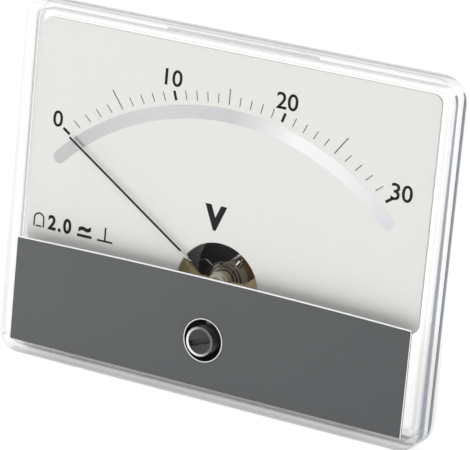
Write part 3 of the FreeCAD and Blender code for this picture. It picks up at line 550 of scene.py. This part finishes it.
def paintedReflectionSilver():
    # a mirror-like printed strip, brushed along its length, its colour a painted reflection that goes lighter and
    # darker along the arc
    finish = Finish("silverStripPaintedReflection")
    centre = dialSpot(0, arcBand["centre"])
    spot = finish.place()
    x = finish.node("ShaderNodeSeparateXYZ", {}, {"Vector": spot}, 0) - centre.x
    z = finish.node("ShaderNodeSeparateXYZ", {}, {"Vector": spot}, 2) - centre.z
    heading = x.maths("ARCTAN2", x, z) * math.degrees(1)
    share = (heading - arcBand["from"]) / (arcBand["to"] - arcBand["from"])
    # painted reflection: the stops brighten and darken along the arc as if lamps were mirrored in it
    tone = finish.node("ShaderNodeValToRGB", {"stops": [
        (0.0, (0.50, 0.50, 0.51)), (0.3, (0.60, 0.60, 0.61)), (0.52, (0.55, 0.55, 0.57)),
        (0.7, (0.86, 0.86, 0.88)), (0.85, (0.80, 0.80, 0.83)), (1.0, (0.66, 0.66, 0.69))]},
        {"Fac": share})
    grain = finish.noise(4000.0, 2.0)
    return finish.cover(finish.shader(
        Base_Color=finish.mix(grain * 0.1, tone, (0.7, 0.7, 0.72)),
        Metallic=0.6,
        Roughness=0.3 + grain * 0.1,
        Normal=finish.bump(grain, 0.000003, 0.3)))


def spunStrip(name, centre, radius, width, angles, height, steps, material):
    # a flat strip along an arc round centre, in metres, standing out of its ground by height
    start()
    bpy.ops.mesh.primitive_plane_add(size=1, location=(0, 0, 0))
    strip = bpy.context.active_object
    # keep one edge of the plane, stand it across the strip and spin it along the arc
    edit(strip, lambda v: v.co.x > 0, "VERT")
    bpy.ops.mesh.delete(type="VERT")
    done()
    for vertex in strip.data.vertices:
        vertex.co = (0, 0, radius + (width / 2 if vertex.co.y > 0 else -width / 2))
    turn = Matrix.Rotation(math.radians(angles[0]), 4, "Y")
    strip.data.transform(Matrix.Translation(centre) @ turn)
    edit(strip, kind="VERT")
    sweep = math.radians(angles[1] - angles[0])
    bpy.ops.mesh.spin(steps=steps, angle=-sweep, center=centre, axis=(0, 1, 0))
    bpy.ops.mesh.select_all(action="SELECT")
    bpy.ops.mesh.remove_doubles(threshold=0.000001)
    bpy.ops.mesh.extrude_region_move(TRANSFORM_OT_translate={"value": (0, -height, 0)})
    done()
    piece = named(name, material)
    outward(piece)
    return piece


def inkDisc(radius, spot, material):
    start()
    depth = 1.6 * printing["ink"] * mm
    bpy.ops.mesh.primitive_cylinder_add(vertices=32, radius=radius, depth=depth,
                                        location=(0, 0, 0))
    disc = bpy.context.active_object
    disc.data.transform(Matrix.Translation(spot) @ Matrix.Rotation(math.radians(90), 4, "X"))
    return named("disc", material)


def makeArcBand():
    centre = dialSpot(0, arcBand["centre"])
    radius = arcBand["radius"] * mm
    width = arcBand["width"] * mm
    paintedSilver = paintedReflectionSilver()
    angles = (arcBand["from"], arcBand["to"])
    pieces = [spunStrip("arc_band", centre, radius, width, angles, printing["ink"] * mm,
                        arcBand["steps"], paintedSilver)]
    for angle in angles:
        end = centre + Matrix.Rotation(math.radians(angle), 3, "Y") @ Vector((0, 0, radius))
        pieces.append(inkDisc(width / 2, end, paintedSilver))
    piece = joined("arc_band", pieces)
    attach(piece, "housing")


makeArcBand()
print("arc band")

signs = {
    "foot": -8.75,  # the signs' lower edge, millimetres from the face's centre
    "line": 0.28,
    "coilAt": (-38.4, -36.1),
    "coilTop": -6.1,
    "coilGap": 0.4,  # between the arch and the ends of its base
    "coilRise": 0.15,
    "waveAt": (-29.0, -25.9),
    "waveHeight": 1.3,
    "waveRise": 1.5,  # the wave's middle above the foot
    "barLine": 0.5,
    "uprightAt": (-24.7, -21.5),
    "uprightHeight": 2.7,
    "uprightLine": 0.34,
}


def makeSigns():
    line = signs["line"]
    foot = signs["foot"]
    left, right = signs["coilAt"]
    radius = (right - left - line) / 2
    shoulder = signs["coilTop"] - line / 2 - radius
    middle = (left + right) / 2
    arch = [spunStrip("arch", dialSpot(middle, shoulder), radius * mm, line * mm, (-90, 90),
                      printing["ink"] * mm, 20, printFinish)]
    for side in (-1, 1):
        x = middle + side * radius
        arch.append(inkBar(line, shoulder - foot, dialSpot(x, foot), 0, printFinish))
    gap = signs["coilGap"]
    base = dialSpot(middle - radius + gap, foot + signs["coilRise"])
    arch.append(inkBar(line, 2 * radius - 2 * gap, base, 90, printFinish))
    signPiece(joined("moving_coil_sign", arch))
    left, right = signs["waveAt"]
    middle = (left + right) / 2
    bar = signs["barLine"]
    below = inkBar(bar, right - left, dialSpot(left, foot + bar / 2), 90, printFinish)
    signPiece(joined("rectified_sign_bar", [below]))
    words("rectified_sign_wave", "~", signs["waveHeight"], (middle, foot + signs["waveRise"]),
          printFinish, bold=0.07, squeeze=1.25)
    left, right = signs["uprightAt"]
    bar = signs["uprightLine"]
    upright = [inkBar(bar, right - left, dialSpot(left, foot + bar / 2), 90, printFinish),
               inkBar(bar, signs["uprightHeight"], dialSpot((left + right) / 2, foot), 0,
                      printFinish)]
    signPiece(joined("upright_sign", upright))


def signPiece(piece):
    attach(piece, "housing")


makeSigns()
print("signs")

bead = {  # millimetres; a pale strip that carries the painted highlight round the dark band
    "width": 0.26,
    "sideShare": 0.7,  # the side edges' width as a share of it
    "height": 0.05,
    "rise": 0.6,
}


def paintedHighlightFinish():
    # a painted highlight: pale colour in place of the light caught by the clear edge of the groove that the dark
    # band lies in
    finish = Finish("paintedHighlightClear")
    grain = finish.noise(700.0, 2.0)
    return finish.cover(finish.shader(
        Base_Color=finish.mix(grain, (0.80, 0.81, 0.83), (0.92, 0.93, 0.94)),
        Roughness=0.15 + grain * 0.2,
        Normal=finish.bump(grain, 0.00001, 0.3)))


def makePaintedHighlightBead():
    low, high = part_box("cover_band")
    front = low.y
    width = bead["width"] * mm
    rise = bead["rise"] * mm
    half = high.x
    side = high.z - rise
    radius = (half ** 2 + rise ** 2) / (2 * rise)
    sweep = math.degrees(math.asin(half / radius))
    material = paintedHighlightFinish()
    centre = Vector((0, front, high.z - radius))
    parts = [spunStrip("bead", centre, radius + width / 2, width, (-sweep, sweep),
                       bead["height"] * mm, 40, material)]
    for s in (-1, 1):
        foot = (s * half, front, low.z)
        parts.append(beadBar(width * bead["sideShare"], side - low.z, foot, material))
    piece = joined("band_painted_highlight", parts)
    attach(piece, "housing")


def beadBar(width, length, foot, material):
    start()
    bpy.ops.mesh.primitive_cube_add(size=1, location=(0, 0, 0))
    bar = bpy.context.active_object
    bar.scale = (width, bead["height"] * mm, length)
    bpy.ops.object.transform_apply(location=True, rotation=True, scale=True)
    bar.data.transform(Matrix.Translation(Vector(foot) + Vector((0, 0, length / 2))))
    return named("bar", material)


makePaintedHighlightBead()
print("bead round the dark band")

collar = {
    "holeRadius": 3.86,  # millimetres, the painted highlight ring round the adjuster's hole
    "holeLine": 0.16,
    "rimRadius": 2.44,
    "rimLine": 0.44,
    "rimHeight": 0.03,
    "rimSink": 0.02,
}


def collarPaintedLight():
    # the clear collar's end, with a painted highlight towards the left and painted shade towards the right
    finish = Finish("collarRimPaintedLight")
    x = finish.node("ShaderNodeSeparateXYZ", {}, {"Vector": finish.place()}, 0)
    z = finish.node("ShaderNodeSeparateXYZ", {}, {"Vector": finish.place()}, 2) - screwAxis.z
    # side is 1 at the painted highlight and 0 at the painted shade
    side = 0.32 - x * 260.0 - z * 130.0
    side = side.maths("MINIMUM", side.maths("MAXIMUM", side, 0.0), 1.0)
    grain = finish.noise(1500.0, 2.0)
    return finish.cover(finish.shader(
        Base_Color=finish.mix(side, (0.12, 0.125, 0.13), (0.90, 0.91, 0.92)),
        Roughness=0.12 + grain * 0.15,
        Normal=finish.bump(grain, 0.000008, 0.3)))


def makeCollar():
    low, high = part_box("cover_band")
    hole = Vector((screwAxis.x, low.y, screwAxis.z))
    # a ring of painted highlight round the adjuster's hole
    ring = spunStrip("adjuster_hole_rim", hole, collar["holeRadius"] * mm, collar["holeLine"] * mm,
                     (0, 360), bead["height"] * mm, 64, paintedHighlightFinish())
    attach(ring, "housing")
    end = Vector((screwAxis.x, caseBox[0].y + collar["rimSink"] * mm, screwAxis.z))
    rim = spunStrip("collar_rim", end, collar["rimRadius"] * mm, collar["rimLine"] * mm,
                    (0, 360), collar["rimHeight"] * mm, 64, collarPaintedLight())
    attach(rim, "housing")


makeCollar()

shadeTube = {"radius": 24.3, "wall": 0.2, "front": -1.6, "back": 3.9}  # millimetres


def makeShadeTube():
    # a thin black tube behind the dial, put there as painted shade so that the movement seen through the
    # adjuster's hole looks dark
    start()
    length = (shadeTube["back"] - shadeTube["front"]) * mm
    bpy.ops.mesh.primitive_cylinder_add(vertices=96, radius=shadeTube["radius"] * mm, depth=length,
                                        end_fill_type="NOTHING", location=(0, 0, 0))
    tube = bpy.context.active_object
    tube.data.transform(Matrix.Rotation(math.radians(90), 4, "X"))
    middle = (shadeTube["front"] * mm + shadeTube["back"] * mm) / 2
    tube.data.transform(Matrix.Translation((0, middle, 0)))
    piece = named("painted_shade_tube", finishes["black_plastic"])
    outward(piece)
    wall = piece.modifiers.new("wall", "SOLIDIFY")
    wall.thickness = shadeTube["wall"] * mm
    start()
    piece.select_set(True)
    bpy.context.view_layer.objects.active = piece
    bpy.ops.object.modifier_apply(modifier="wall")
    bpy.ops.object.shade_smooth_by_angle(angle=math.radians(30))
    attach(piece, "housing")


makeShadeTube()
print("collar and shroud")


look = {
    "target": (0.004331, -0.0075, 0.004497),
    "azimuth": 29.0146,
    "elevation": 14.0594,
    "roll": 5.3473,
    "distance": 0.57474,
    "lens": 254.47,
    "sensor": 36.0,
    "clip": (0.01, 20),
}


def addCamera():
    azimuth = math.radians(look["azimuth"])
    elevation = math.radians(look["elevation"])
    back = Vector((math.sin(azimuth) * math.cos(elevation),
                   -math.cos(azimuth) * math.cos(elevation), math.sin(elevation)))
    camera = bpy.data.objects.new("camera", bpy.data.cameras.new("camera"))
    camera.data.lens = look["lens"]
    camera.data.sensor_width = look["sensor"]
    camera.data.clip_start, camera.data.clip_end = look["clip"]
    camera.location = Vector(look["target"]) + back * look["distance"]
    turned = (-back).to_track_quat("-Z", "Y") @ Quaternion((0, 0, 1), math.radians(look["roll"]))
    camera.rotation_euler = turned.to_euler()
    bpy.context.scene.collection.objects.link(camera)
    bpy.context.scene.camera = camera


floorLook = {"size": 8, "gap": 0.0002, "glow": 0.62}  # metres, and its own light


def addFloor():
    start()
    bpy.ops.mesh.primitive_plane_add(size=floorLook["size"],
                                     location=(0, 0, cadBox[0][2] - floorLook["gap"]))
    floor = bpy.context.active_object
    finish = Finish("floorWhite")
    fine = finish.noise(40.0, 3.0)
    floor.data.materials.append(finish.cover(finish.shader(
        Base_Color=finish.mix(fine, (0.93, 0.93, 0.93), (0.96, 0.96, 0.96)),
        Roughness=0.6 + fine * 0.1,
        Emission_Color=(1, 1, 1, 1),
        Emission_Strength=floorLook["glow"])))
    floor.name = "floor"


lights = {
    "key": {"place": (-0.9, -1.1, 1.3), "size": 0.9, "power": 13.0},
    "fill": {"place": (1.3, -0.9, 0.5), "size": 1.2, "power": 3.0},
    "top": {"place": (0.1, 0.3, 1.5), "size": 1.2, "power": 4.0},
}
skyStrength = 0.34


def addLights():
    for name, values in lights.items():
        light = bpy.data.lights.new(name, "AREA")
        light.shape = "DISK"
        light.size = values["size"]
        light.energy = values["power"]
        lamp = bpy.data.objects.new(name, light)
        lamp.location = values["place"]
        aim = Vector(look["target"]) - lamp.location
        lamp.rotation_euler = aim.to_track_quat("-Z", "Y").to_euler()
        bpy.context.scene.collection.objects.link(lamp)
    world = bpy.data.worlds.new("studio")
    bpy.context.scene.world = world
    world.use_nodes = True
    background = world.node_tree.nodes["Background"]
    background.inputs["Color"].default_value = (1, 1, 1, 1)
    background.inputs["Strength"].default_value = skyStrength


addCamera()
addFloor()
addLights()
bpy.context.scene.view_settings.view_transform = "Standard"
print("camera, floor and light")
